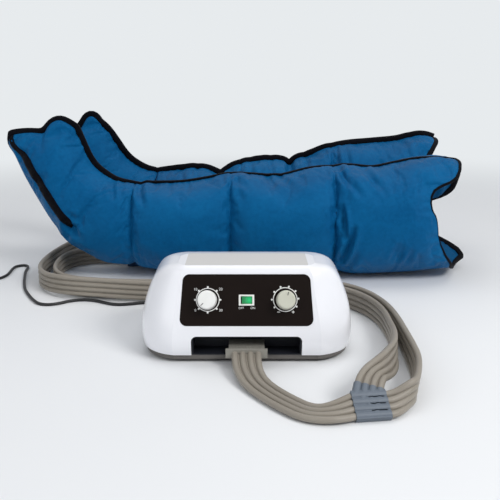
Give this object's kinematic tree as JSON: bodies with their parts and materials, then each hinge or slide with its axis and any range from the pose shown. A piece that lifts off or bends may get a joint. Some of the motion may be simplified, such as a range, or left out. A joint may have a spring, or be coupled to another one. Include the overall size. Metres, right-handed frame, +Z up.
{
  "type": "compression therapy pump",
  "caption": "bench-top air compression pump with dial timer, pressure dial and rocker switch, joined by ribbon hoses to a pair of four-chamber inflatable leg boots",
  "frame": {"origin": "bottom centre of the pump and boots together, without the hoses and the power lead", "axes": "+X to the right along the boots' length, +Y to the back, +Z up; the pump's front faces -Y"},
  "size_m": [0.9647, 0.8992, 0.286],
  "materials": {
    "upper_housing": "glossy white",
    "base_tray": "fine textured grey",
    "rubber_feet": "matt black",
    "vibration_mounts": "matt black",
    "diaphragms": "matt black",
    "nipple_seals": "matt black",
    "cord_gland": "matt black",
    "case_screws": "zinc plated",
    "control_panel": "satin near-black with white printing",
    "clockwork_timer": "moulded",
    "pressure_regulator": "moulded",
    "switch_body": "moulded",
    "bay_liner": "moulded",
    "outlet_manifold": "moulded",
    "power_board": "moulded",
    "fuse_holder": "moulded",
    "terminal_block": "moulded",
    "distributor_body": "moulded",
    "distributor_lid": "moulded",
    "distributor_motor": "moulded",
    "valve_heads": "moulded",
    "power_plug": "moulded",
    "switch_bezel": "glossy white",
    "timer_knob": "glossy white",
    "pressure_knob": "beige grey",
    "timer_shaft": "plain",
    "pressure_shaft": "plain",
    "compressor_frame": "plain",
    "electromagnet_cores": "plain",
    "compressor_armature": "plain",
    "electromagnet_coils": "enamelled copper wire",
    "switch_rocker": "translucent green, lit",
    "distributor_rotor": "natural acetal",
    "hose_plug": "grey moulded PVC",
    "hose_splitter": "grey moulded PVC",
    "supply_hoses": "taupe grey PVC",
    "near_boot_hoses": "taupe grey PVC",
    "far_boot_hoses": "taupe grey PVC",
    "outlet_hoses": "taupe grey PVC",
    "pressure_hose": "taupe grey PVC",
    "power_lead": "black PVC",
    "power_lead_coil": "black PVC",
    "power_lead_tail": "black PVC",
    "near_boot_foot_chamber": "blue coated nylon",
    "near_boot_calf_chamber": "blue coated nylon",
    "near_boot_knee_chamber": "blue coated nylon",
    "near_boot_thigh_chamber": "blue coated nylon",
    "near_boot_zip": "black binding",
    "near_boot_inlet": "moulded",
    "far_boot_foot_chamber": "blue coated nylon",
    "far_boot_calf_chamber": "blue coated nylon",
    "far_boot_knee_chamber": "blue coated nylon",
    "far_boot_thigh_chamber": "blue coated nylon",
    "far_boot_zip": "black binding",
    "far_boot_inlet": "moulded"
  },
  "bodies": {
    "case": {"upper_housing": "upper_housing", "base_tray": "base_tray", "rubber_feet": "rubber_feet", "case_screws": "case_screws", "control_panel": "control_panel", "clockwork_timer": "clockwork_timer", "pressure_regulator": "pressure_regulator", "switch_bezel": "switch_bezel", "switch_body": "switch_body", "bay_liner": "bay_liner", "outlet_manifold": "outlet_manifold", "nipple_seals": "nipple_seals", "hose_plug": "hose_plug", "compressor_frame": "compressor_frame", "electromagnet_cores": "electromagnet_cores", "electromagnet_coils": "electromagnet_coils", "diaphragms": "diaphragms", "valve_heads": "valve_heads", "vibration_mounts": "vibration_mounts", "distributor_motor": "distributor_motor", "distributor_body": "distributor_body", "distributor_lid": "distributor_lid", "outlet_hoses": "outlet_hoses", "pressure_hose": "pressure_hose", "power_board": "power_board", "fuse_holder": "fuse_holder", "terminal_block": "terminal_block", "cord_gland": "cord_gland", "supply_hoses": "supply_hoses", "hose_splitter": "hose_splitter", "near_boot_hoses": "near_boot_hoses", "far_boot_hoses": "far_boot_hoses", "power_lead": "power_lead", "power_lead_coil": "power_lead_coil", "power_lead_tail": "power_lead_tail", "power_plug": "power_plug", "near_boot_foot_chamber": "near_boot_foot_chamber", "near_boot_calf_chamber": "near_boot_calf_chamber", "near_boot_knee_chamber": "near_boot_knee_chamber", "near_boot_thigh_chamber": "near_boot_thigh_chamber", "near_boot_zip": "near_boot_zip", "near_boot_inlet": "near_boot_inlet", "far_boot_foot_chamber": "far_boot_foot_chamber", "far_boot_calf_chamber": "far_boot_calf_chamber", "far_boot_knee_chamber": "far_boot_knee_chamber", "far_boot_thigh_chamber": "far_boot_thigh_chamber", "far_boot_zip": "far_boot_zip", "far_boot_inlet": "far_boot_inlet"},
    "timer": {"timer_knob": "timer_knob", "timer_shaft": "timer_shaft"},
    "pressure": {"pressure_knob": "pressure_knob", "pressure_shaft": "pressure_shaft"},
    "rocker": {"switch_rocker": "switch_rocker"},
    "armature": {"compressor_armature": "compressor_armature"},
    "distributor": {"distributor_rotor": "distributor_rotor"}
  },
  "joints": [
    {"name": "timer_turn", "type": "hinge", "parent": "case", "child": "timer", "pos_m": [-0.04303, -0.34871, 0.08271], "axis": [0, 0.9397, -0.342], "range_deg": [0, 270]},
    {"name": "pressure_turn", "type": "hinge", "parent": "case", "child": "pressure", "pos_m": [0.05897, -0.34871, 0.08271], "axis": [0, 0.9397, -0.342], "range_deg": [-222, 72]},
    {"name": "switch_rock", "type": "hinge", "parent": "case", "child": "rocker", "pos_m": [0.00797, -0.34664, 0.08196], "axis": [0, -0.342, -0.9397], "range_deg": [0, 16]},
    {"name": "armature_slide", "type": "slide", "parent": "case", "child": "armature", "axis": [1, 0, 0], "range_m": [-0.0015, 0.0015], "stiffness_N_per_m": 1500},
    {"name": "distributor_spin", "type": "hinge", "parent": "case", "child": "distributor", "pos_m": [0.08197, -0.25671, 0.03], "axis": [0, 0, 1], "continuous": true}
  ]
}
